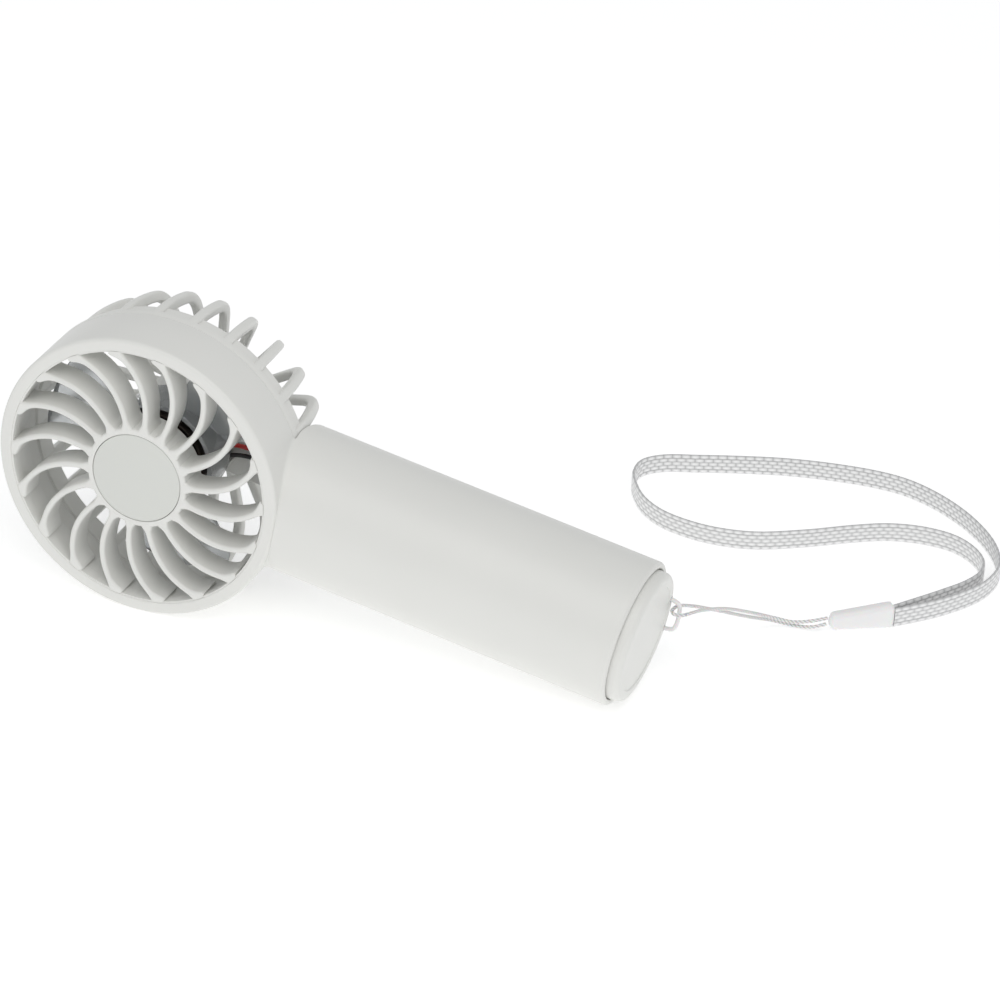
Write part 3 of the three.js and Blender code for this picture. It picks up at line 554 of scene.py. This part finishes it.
def woven_ribbon():
    """A flat nylon weave on edge: rows of long cells that step half a cell from row to row."""
    step, across = 0.23, 26
    clear = 0.1  # of the floor, and shared by the two long edges
    edge_round, least_edge = 0.3, 0.03
    route = smooth_route([(x, y, RIBBON_W / 2 + clear) for x, y in RIBBON_ROUTE], step)
    heights = [(j / across - 0.5) * (RIBBON_W - clear) for j in range(across + 1)]
    rings, weave = [], []
    count = len(route)
    for i, here in enumerate(route):
        ahead = (route[min(i + 1, count - 1)] - route[max(i - 1, 0)]).normalized()
        side = Vector((0, 0, 1)).cross(ahead).normalized()
        ring = []
        for face in (1, -1):
            for h in heights if face > 0 else heights[::-1]:
                row = (h / RIBBON_W + 0.5) * ROW_COUNT
                offset = 0.5 * (int(row) % 2) + (0.25 if face < 0 else 0)
                along = abs(math.sin(math.pi * (i * step / CELL_L + offset)))
                crown = math.sqrt(abs(math.sin(math.pi * row))) * (0.25 + 0.75 * along**0.6)
                edge = min(1, (RIBBON_W / 2 - abs(h)) / edge_round)
                thick = (RIBBON_T / 2 - WEAVE_DEPTH * 1.2) * math.sqrt(max(least_edge, edge))
                ring.append(here + Vector((0, 0, h)) + side * face * (thick + WEAVE_DEPTH * crown))
                # the crown value also sets the painted shade on the ribbon's colour between the yarns
                weave.append(crown)
        rings.append(ring)
    obj = piece("ribbon_weave", skin(rings), RIBBON, replaces=["strap_ribbon"], place=TABLE, crease=80)
    set_weave_shade(obj, weave)
    return obj, [p * MM for p in route]


def ferrule():
    """The tapered clip that holds both cord ends and both ribbon ends."""
    low, high = FERRULE_HALF_W
    half, stations = FERRULE_L / 2, 26
    cord_end_round, ribbon_end_round, corner = 1.3, 0.9, 1.25
    rings = []
    for i in range(stations + 1):
        x = -half + FERRULE_L * i / stations
        share = i / stations
        wide = low + (high - low) * min(1, share * 1.12)
        end = cord_end_round if share < 0.5 else ribbon_end_round
        reach = min(1, (min(x + half, half - x) + 0.02) / end)
        shrink = end * (1 - math.sqrt(max(0, 1 - (1 - reach) ** 2)))
        thick = FERRULE_T / 2 - shrink * 0.8
        section = rounded(2 * thick, 2 * (wide - shrink), min(corner, thick - 0.05), 6)
        rings.append([(x, a, b) for a, b in section])
    place = Matrix.Translation([v * MM for v in FERRULE_AT]) @ Matrix.Rotation(FERRULE_TURN, 4, "Z")
    return piece("ferrule_clip", skin(rings), STRAP_PLASTIC, replaces=["strap_ferrule"],
                 place=place @ TABLE)


clip = ferrule()
for number, points in enumerate((STRAND_1, STRAND_2), 1):
    strand, path = twisted_cord(f"strap_cord_{number}_laid", points)
band, path = woven_ribbon()


# ---- Head and handle ----
FILLET, LEAST_FILLET = 1.1, 0.12  # where the handle's skin runs into the head's side
FILLET_SINK = 0.03
FLARE_FADE = 4  # the fillet fades out over this depth, next to the flat front face
INNER_END = (4, 28), (15.5, 28)  # the handle's solid end, inside the head


def smooth(share):
    """0 to 1 with level ends."""
    share = min(1, max(0, share))
    return share * share * (3 - 2 * share)


def on_handle(profile, dy, dz):
    """(r, x) points about the handle's axis, in one direction from it."""
    return [Vector((x, HANDLE_Y + r * dy, r * dz)) for r, x in profile]


def handle_skin():
    """The handle's outside with a flare into the head, its bore, and a solid end inside the head."""
    lip = 0.25
    rim = [
        *arc((HANDLE_R - EDGE, HANDLE_END - EDGE), EDGE, 0, math.pi / 2, 6)[1:],
        *arc((RECESS_R + lip, HANDLE_END - lip), lip, math.pi / 2, math.pi, 3),
        (RECESS_R, RECESS_START), (BORE_R, RECESS_START), (BORE_R, BORE_START), (3, BORE_START),
    ]
    sides, flare_steps, run_steps = 160, 8, 12
    columns = []
    for dy, dz in circle(1, sides):
        y, z = HANDLE_Y + HANDLE_R * dy, HANDLE_R * dz
        fillet = FILLET * smooth((y - EDGE) / FLARE_FADE) + LEAST_FILLET
        centre_y, centre_z = HANDLE_Y + (HANDLE_R + fillet) * dy, (HANDLE_R + fillet) * dz
        side_r = HEAD_R - FILLET_SINK
        flare = []
        if centre_y < HEAD_DEPTH:
            centre = Vector((math.sqrt((side_r + fillet) ** 2 - centre_z**2), centre_y, centre_z))
            axis_way = Vector((-centre.x, 0, -centre.z)).normalized()
            handle_way = Vector((0, -dy, -dz))
            for k in range(flare_steps + 1):
                flare.append(centre + axis_way.slerp(handle_way, k / flare_steps) * fillet)
                flare[-1].y = max(flare[-1].y, 0.1)
            inside = flare[0] + axis_way * 0.9
            inside.y = max(inside.y, EDGE)
        else:
            start = math.sqrt(CAGE_CLEAR_R**2 - z**2) - 0.8
            flare = [Vector((start + 0.35 * k, y, z)) for k in range(flare_steps + 1)]
            inside = Vector((start - 1, y, z))
        last = flare[-1].x
        run = HANDLE_END - EDGE - last
        runs = [Vector((last + run * k / run_steps, y, z)) for k in range(1, run_steps + 1)]
        columns.append([*on_handle(INNER_END, dy, dz), inside, *flare, *runs, *on_handle(rim, dy, dz)])
    rings = [[column[i] for column in columns] for i in range(len(columns[0]))]
    return skin(rings)


def box_shape(x, y, z, edge=0.0):
    """A block between two corners, with round edges along y if asked for."""
    w, h = (x[1] - x[0]) / 2, (z[1] - z[0]) / 2
    outline = rounded(2 * w, 2 * h, edge, 3) if edge else [(w, -h), (w, h), (-w, h), (-w, -h)]
    middle = (x[0] + x[1]) / 2, (z[0] + z[1]) / 2
    return skin([[(middle[0] + a, depth, middle[1] + b) for a, b in outline] for depth in y])


def shifted(shape, x=0, y=0, z=0):
    return placed(shape, Matrix.Translation((x, y, z)))


def rod(radius, front, back, sides=48):
    return turned([(radius, front), (radius, back)], sides)


def main_housing():
    """The head's ring and front face, the handle and the bosses, with every hole cut."""
    back = HEAD_DEPTH + 0.1
    mouth_edge, back_edge = 0.35, 0.15
    ring = turned(
        [
            *arc((OPENING_R + mouth_edge, mouth_edge), mouth_edge, math.pi, 1.5 * math.pi, 5),
            *arc((HEAD_R - EDGE, EDGE), EDGE, -math.pi / 2, 0, 8),
            *arc((HEAD_R - back_edge, back - back_edge), back_edge, 0, math.pi / 2, 3),
            (HEAD_R - HEAD_WALL, back),
            (HEAD_R - HEAD_WALL, FACE_T),
            (OPENING_R, FACE_T),
        ],
        sides=240, loop=True,
    )
    inside_head = HEAD_R - 1
    room = turned([(inside_head, -2), (inside_head, back), (CAGE_CLEAR_R, back), (CAGE_CLEAR_R, 45)], 240)
    handle = cut(handle_skin(), room)
    boss_y = BOSS_Y, ROOT_PLATE_Y[0] - 0.3
    bosses = [box_shape((29.2, 37.5), boss_y, z, 0.8) for z in ((5, 10), (-10, -5))]
    holes = [shifted(rod(0.95, BOSS_Y - 1, 31), SCREW_X, 0, side * SCREW_Z) for side in (-1, 1)]
    holes += [
        shifted(along_handle(rod(WIRE_HOLE_R, 30, 46)), 0, WIRE_Y - HANDLE_Y),
        shifted(rod(BUTTON_HOLE_R, 30, 40, 96), BUTTON_X),
        shifted(turned([(BUTTON_DISH_R, BUTTON_DISH_Y), (BUTTON_DISH_R + 0.5, 40)], 96), BUTTON_X),
        shifted(rod(LED_HOLE_R, 30, 40), LED_X),
        box_shape((USB_X - 2, USB_X + 2), (30, 40), (-4.9, 4.9), 1.6),
    ]
    return cut(join(ring, handle, *bosses), *holes)


def fin_point(r, offset):
    """A point beside a fin's centre line, which turns ahead as the square of the way out."""
    root, span = 13, 20
    reach = r - root
    angle = FIN_TIP - FIN_SWEEP + FIN_SWEEP * (reach / span) ** 2
    lean = math.atan(r * 2 * FIN_SWEEP * reach / span**2)
    return (
        r * math.cos(angle) - offset * math.sin(angle + lean),
        r * math.sin(angle) + offset * math.cos(angle + lean),
    )


def fin_half_width(r):
    """Half a fin's thickness, which grows where it runs into the hub and into the rim."""
    hub_reach, rim_reach = 2, 3
    near_hub = min(1, max(0, 1 - (r - HUB_R) / hub_reach))
    near_rim = min(1, max(0, 1 - (RIM_R - r) / rim_reach))
    return FIN_T / 2 + FIN_ROOT_FLARE * near_hub**2 + FIN_TIP_FLARE * near_rim**2


def fin():
    """A curved vane with a full round front edge."""
    root, tip, steps = HUB_R - 0.8, RIM_R + 0.6, 44
    front_round, back_round = FIN_T / 2, 0.3
    front, back = FIN_FRONT + front_round, FIN_BACK - back_round
    rings = []
    for i in range(steps + 1):
        r = root + (tip - root) * i / steps
        half = fin_half_width(r)
        section = [
            *arc((half - front_round, front), front_round, -math.pi / 2, 0, 6),
            *arc((half - back_round, back), back_round, 0, math.pi / 2, 3),
            *arc((back_round - half, back), back_round, math.pi / 2, math.pi, 3),
            *arc((front_round - half - 0.02, front), front_round, math.pi, 1.5 * math.pi, 6),
        ]
        ring = []
        for offset, y in section:
            x, z = fin_point(r, offset)
            ring.append((x, y, z))
        rings.append(ring)
    return skin(rings)


def front_grille():
    """The hub with the badge's seat, the rim and its sleeve, and the fins between them."""
    seat, face = BADGE_R + 0.12, 0.13
    seat_edge, hub_edge, back_edge, hub_wall = 0.2, 0.6, 0.3, 1.35
    seat_floor, web_back = 1.6, 3.2
    hub = turned(
        [
            (2, seat_floor), (seat, seat_floor),
            *arc((seat + seat_edge, face + seat_edge), seat_edge, math.pi, 1.5 * math.pi, 3),
            *arc((HUB_R - hub_edge, face + hub_edge), hub_edge, -math.pi / 2, 0, 6),
            (HUB_R, HUB_BACK - back_edge), (HUB_R - back_edge, HUB_BACK),
            (HUB_R - hub_wall, HUB_BACK), (HUB_R - hub_wall, web_back), (2, web_back),
        ],
        sides=160,
    )
    rim = ring_body(RIM_R, HEAD_R - HEAD_WALL - 0.1, FACE_T + 0.1, RIM_BACK, 0.3, 200)
    sleeve = ring_body(MOUTH_R, OPENING_R + 0.1, 0.3, FACE_T + 2, 0.12, 200)
    within = join(
        rod(OPENING_R - 0.05, FIN_FRONT - 1, FACE_T + 0.2, 200),
        rod(RIM_R + 0.4, FACE_T + 0.1, FIN_BACK + 1, 200),
    )
    one = combined(fin(), within, "INTERSECT")
    fins = merged(*[spun(one, k * TAU / FIN_COUNT) for k in range(FIN_COUNT)])
    return join(merged(hub, join(rim, sleeve)), fins)


def badge_disc():
    back, edge, face = 1.3, 0.25, 0.2
    corner = arc((BADGE_R - edge, face + edge), edge, 0, -math.pi / 2, 4)
    return turned([(1, back), (BADGE_R, back), *corner, (1, face)], 160)


# ---- Rear cage ----
def bend(centre, radius, start, end, steps):
    """An arc's points, each with the direction it faces."""
    turns = [start + (end - start) * k / steps for k in range(steps + 1)]
    return [((centre[0] + radius * math.cos(a), centre[1] + radius * math.sin(a)), a) for a in turns]


def rib():
    """One bent bar from the head's side round to the rear hub."""
    side_centre = HEAD_R - RIB_SIDE_R, RIB_SIDE_START
    between = RIB_SIDE_R - RIB_CORNER_R
    corner_centre = (
        side_centre[0] + between * math.cos(RIB_LEAN),
        side_centre[1] + between * math.sin(RIB_LEAN),
    )
    route = [((HEAD_R - RIB_T / 2, 15), 0)]
    route += bend(side_centre, RIB_SIDE_R - RIB_T / 2, 0, RIB_LEAN, 8)[:-1]
    route += bend(corner_centre, RIB_CORNER_R - RIB_T / 2, RIB_LEAN, RIB_TURN, 16)
    (x, y), a = route[-1]
    reach, straight_steps = (x - REAR_HUB_R + 0.8) / math.sin(a), 8
    for k in range(1, straight_steps + 1):
        way = reach * k / straight_steps
        route.append(((x - math.sin(a) * way, y + math.cos(a) * way), a))
    rings = []
    for i, ((x, y), a) in enumerate(route):
        width = RIB_WIDTHS[0] + (RIB_WIDTHS[1] - RIB_WIDTHS[0]) * i / (len(route) - 1)
        section = rounded(width, RIB_T, RIB_EDGE, 4)
        rings.append([(x + math.cos(a) * b, y + math.sin(a) * b, across) for across, b in section])
    return skin(rings)


def corners(x, z):
    return [(x[0], z[0]), (x[1], z[0]), (x[1], z[1]), (x[0], z[1])]


def rear_cage():
    """The lip and its ring, the rear hub, the arm to the handle, the screwed plate and the ribs."""
    lip = ring_body(HEAD_R - HEAD_WALL - 0.1, HEAD_R, *CAGE_LIP, 0.18, 240)
    lip = join(lip, ring_body(*CAGE_RING_R, CAGE_LIP[0] + 0.3, CAGE_RING_BACK, 0.3, 240))
    outer, inner, front = REAR_HUB_R, REAR_HUB_R - 1.5, REAR_HUB_FRONT
    edge, chamfer, plate_edge = 0.8, 0.2, 0.4
    hub = turned(
        [
            (2, REAR_HUB_FLOOR), (inner, REAR_HUB_FLOOR), (inner, front + chamfer),
            (inner + chamfer, front), (outer - chamfer, front), (outer, front + chamfer),
            *arc((outer - edge, REAR_FACE - edge), edge, 0, math.pi / 2, 6), (2, REAR_FACE),
        ],
        sides=160,
    )
    hub = cut(hub, box_shape((10, 15), (22, ARM_Y[0]), (-3, 3)))
    arm = plate(corners((outer - 1, ARM_END), (-ARM_HALF_W, ARM_HALF_W)), *ARM_Y, plate_edge)
    shelf = plate(corners(ARM_SHELF_X, ARM_SHELF_Z), *ARM_Y, plate_edge)
    shelf = cut(shelf, rod(outer - 0.6, ARM_Y[0] - 1, ARM_Y[1] + 1, 160))
    near, far = ROOT_PLATE_R
    root_outline = [
        *arc((0, 0), far, -ROOT_PLATE_HALF, ROOT_PLATE_HALF, 40),
        *arc((0, 0), near, ROOT_PLATE_HALF, -ROOT_PLATE_HALF, 36),
    ]
    root = plate(root_outline, *ROOT_PLATE_Y, plate_edge)
    one = rib()
    ribs = merged(*[spun(one, RIB_PHASE + k * RIB_PITCH) for k in range(FIRST_RIB, LAST_RIB + 1)])
    holes = [shifted(rod(1.1, 29, 34, 32), SCREW_X, 0, side * SCREW_Z) for side in (-1, 1)]
    return cut(join(merged(lip, hub), ribs, root, arm, shelf), *holes)


def screw(head_r, head, shaft_r, tip):
    """A pan-head screw with a cross recess; its head faces back."""
    front, back = head
    body = turned(
        [
            (0.15, tip), (shaft_r, tip + 0.5), (shaft_r, front), (head_r, front), (head_r, front + 0.35),
            *arc((head_r - 0.6, back - 0.6), 0.6, 0.3, math.pi / 2, 4), (0.15, back),
        ],
        sides=40,
    )
    long, narrow, depth = (-0.9, 0.9), (-0.17, 0.17), (back - 0.45, back + 1)
    return cut(body, box_shape(long, depth, narrow), box_shape(narrow, depth, long))


# ---- Motor and propeller ----
def blade():
    """A helical sheet whose chord narrows and flattens towards the tip, with thin rounded edges."""
    spans, chords = 16, 26
    tip_start, tip_narrowing, tip_thinning, least_edge = 0.86, 0.16, 0.25, 0.05
    root, middle = PROP_HUB_R - 0.6, (BLADE_FRONT + BLADE_BACK) / 2
    rings = []
    for i in range(spans + 1):
        out = i / spans
        r = root + (PROP_TIP_R - root) * out
        tip = max(0.0, (out - tip_start) / (1 - tip_start))
        span = BLADE_SPAN * (1 - BLADE_NARROWING * out) * math.sqrt(1 - tip_narrowing * tip**2)
        rise = (BLADE_BACK - BLADE_FRONT - BLADE_T) * (1 - BLADE_FLATTENING * out)
        ring = []
        for side in (1, -1):
            for j in range(chords + 1):
                across = (j / chords - 0.5) * side
                angle = across * span + BLADE_SKEW * out
                taper = math.sqrt(max(least_edge, 1 - (2 * abs(across)) ** 6)) * (1 - tip_thinning * out)
                bulge = BLADE_CAMBER * (0.25 - across * across)
                y = middle - across * rise - bulge + side * taper * BLADE_T / 2
                ring.append((r * math.cos(angle), y, r * math.sin(angle)))
        rings.append(ring)
    return skin(rings)


def propeller():
    hub = ring_body(ROTOR_R + 0.3, PROP_HUB_R, *PROP_HUB_Y, 0.25, 120)
    one = blade()
    blades = merged(*[spun(one, BLADE_PHASE + k * TAU / BLADE_COUNT) for k in range(BLADE_COUNT)])
    return join(hub, blades)


def rotor_can():
    """The steel cup that carries the magnets, with the shaft's collar in the middle of its face."""
    r, edge, wall = ROTOR_R, 0.5, 0.8
    bore, collar = 1.3, 2.6
    return turned(
        [
            (bore, 10.2), (bore + 0.2, 10), (r - 2.2, 10), (r - 2, 10.15), (r - edge, 10.15),
            *arc((r - edge, 10.65), edge, -1.2, 0, 5),
            (r, 20.2), (r - 0.2, 20.4), (r - wall, 20.4), (r - wall, 10.8),
            (collar, 10.8), (collar, 13.4), (bore, 13.4),
        ],
        sides=128, loop=True,
    )


def motor_wire(side):
    """One of the two leads from the motor's board, out of the rear hub and along the arm into the handle."""
    route = [
        (8.2, 23.7, side * 1.7), (11.2, 24.6, side * 1.6), (14.4, 26.7, side * 1.3), (19, 27.5, side),
        (30, 27.5, side), (38, WIRE_Y, side * 0.95), (45, 27.5, side), (49, 28.4, side * 1.5),
        (52.6, 28.5, side * 2),
    ]
    return tube(smooth_route(route, 0.6), WIRE_R)


# ---- End cap, eyelet and controls ----
def end_cap():
    """A dished cap with a round shoulder and a skirt that plugs the handle's bore."""
    dish, edge = CAP_FACE - 0.25, 1.5
    skirt_r, skirt_inner, skirt_end = BORE_R - 0.4, 13.9, 114
    flange_back, floor_back = 118.5, 121.6
    body = along_handle(
        turned(
            [
                (2, dish), (CAP_R - 3.2, dish), (CAP_R - 3, CAP_FACE),
                *arc((CAP_R - edge, CAP_FACE - edge), edge, math.pi / 2, 0, 8),
                (CAP_R, flange_back), (skirt_r, flange_back), (skirt_r, skirt_end),
                (skirt_inner, skirt_end), (skirt_inner, floor_back), (2, floor_back),
            ],
            sides=200,
        )
    )
    foot = along_handle(rod(0.8, 119, 126, 32))
    return cut(body, *[shifted(foot, 0, EYELET_Y - HANDLE_Y, z) for z in EYELET_FEET])


def strap_eyelet():
    """A bent wire arch with both feet in the end cap."""
    low, high = EYELET_FEET
    foot, knee, bar = EYELET_FOOT_X, 124.6, EYELET_BAR_X
    arch = [(foot, low), (knee, low), (bar - 0.5, low + 0.6), (bar, low + 2),
            (bar, high - 2), (bar - 0.5, high - 0.6), (knee, high), (foot, high)]
    return tube(smooth_route([(x, EYELET_Y, z) for x, z in arch], 0.3), EYELET_R, 20)


def power_button():
    """A dished cap on a flange that holds it in from behind."""
    face, dish_r, dish_depth, edge = 36, 4.4, 0.35, 0.6
    cap_r, flange_r, flange_front, flange_back = 5.2, 6.4, 31, 31.8
    dish = [(r, face - dish_depth * (1 - (r / dish_r) ** 2)) for r in (dish_r, 3.6, 2.8, 2, 1.2, 0.4)]
    profile = [
        (0.4, flange_front), (flange_r, flange_front), (flange_r, flange_back), (cap_r, flange_back),
        (cap_r, 35.3), *arc((cap_r - edge, face - edge), edge, 0, math.pi / 2, 5), *dish,
    ]
    return shifted(turned(profile, 96), BUTTON_X)


def light_guide():
    """A clear rod with a round end, in the charge light's hole."""
    edge = arc((0.6, 35.3), 0.4, 0, math.pi / 2, 4)
    return shifted(turned([(0.2, 28.9), (1, 28.9), (1, 35.3), *edge, (0.2, 35.7)], 40), LED_X)


def usb_socket():
    """A steel shell with a tongue inside."""
    shell = box_shape((USB_X - 1.6, USB_X + 1.6), (27.9, 34.7), (-4.5, 4.5), 1.5)
    mouth = box_shape((USB_X - 1.2, USB_X + 1.2), (29.2, 36), (-4.1, 4.1), 1.15)
    tongue = box_shape((USB_X - 0.35, USB_X + 0.35), (29, 33.9), (-3.2, 3.2), 0.15)
    return join(cut(shell, mouth), tongue)


piece("housing_shell", main_housing(), WHITE, replaces=["main_housing"])
piece("grille_vanes", front_grille(), WHITE, replaces=["front_grille"])
piece("badge_face", badge_disc(), BADGE, replaces=["badge_disc"])
piece("cage_ribs", rear_cage(), WHITE, replaces=["rear_cage"])
piece("fan_blades", propeller(), SMOKE, body="rotor", replaces=["propeller"])
piece("rotor_cup", rotor_can(), DARK_STEEL, body="rotor", replaces=["rotor_can"])
piece("red_wire_run", motor_wire(1), RED_WIRE, replaces=["red_motor_wire"])
piece("black_wire_run", motor_wire(-1), BLACK_WIRE, replaces=["black_motor_wire"])
piece("end_cap_shell", end_cap(), WHITE, replaces=["end_cap"])
piece("eyelet_loop", strap_eyelet(), STRAP_PLASTIC, replaces=["strap_eyelet"])
piece("button_cap", power_button(), WHITE, body="button", replaces=["power_button"])
piece("light_window", light_guide(), CLEAR, replaces=["light_guide"])
piece("usb_shell", usb_socket(), STEEL, replaces=["usb_socket"])
for number, side in ((1, -1), (2, 1)):
    shape = shifted(screw(SCREW_HEAD_R, SCREW_HEAD_Y, SCREW_SHAFT_R, SCREW_TIP), SCREW_X, 0, side * SCREW_Z)
    piece(f"cage_screw_{number}_cross", shape, STEEL, replaces=[f"cage_screw_{number}"])

# The CAD nodes that stay on show take the finish of their record slot.
INNER_MATERIALS = (
    WHITE, STEEL, BRONZE, COPPER, MAGNET, BOARD, BLACK, RED_WIRE, BLACK_WIRE, CELL, FOAM, CLEAR,
)
FINISHES = {material["slot"]: material for material in INNER_MATERIALS}
for part in frame["record"]["subparts"]:
    node = frame["nodes"][part["node"]]
    if part["material_slot"] in FINISHES:
        node.data.materials.clear()
        node.data.materials.append(FINISHES[part["material_slot"]])


# ---- Stage and light ----
def stage():
    """A white floor that is bright enough to look like a sweep of paper."""
    reach, thick = 3, 0.02
    slab = skin([
        [(x, y, z) for x, y in ((-reach, -reach), (reach, -reach), (reach, reach), (-reach, reach))]
        for z in (-thick, 0)
    ])
    floor = bpy.data.objects.new("floor", mesh_of("floor", slab))
    paper, tree, shader = principled(
        "backdrop_paper", (0.9, 0.9, 0.9), 0.9, Emission_Color=(1, 1, 1, 1), Emission_Strength=0.37
    )
    bump(tree, shader, noise(tree, 900, 2), 1e-5)
    floor.data.materials.append(paper)
    scene.collection.objects.link(floor)


def soft_light(name, at, target, size, power, color):
    data = bpy.data.lights.new(name, "AREA")
    data.shape, data.size, data.size_y = "RECTANGLE", *size
    data.energy, data.color = power, color
    light = bpy.data.objects.new(name, data)
    scene.collection.objects.link(light)
    light.location = at
    light.rotation_euler = (Vector(at) - Vector(target)).to_track_quat("Z", "Y").to_euler()


def lighting():
    world = bpy.data.worlds.new("studio")
    world.use_nodes = True
    sky = world.node_tree.nodes["Background"]
    sky.inputs["Color"].default_value = (0.97, 0.985, 1, 1)
    sky.inputs["Strength"].default_value = 0.565
    scene.world = world
    centre = (0.02, 0, 0.03)
    soft_light("front", (0.25, -0.55, 1.05), centre, (1.2, 0.9), 4.8, (1, 0.985, 0.955))


stage()
lighting()
scene.view_settings.view_transform = "Standard"
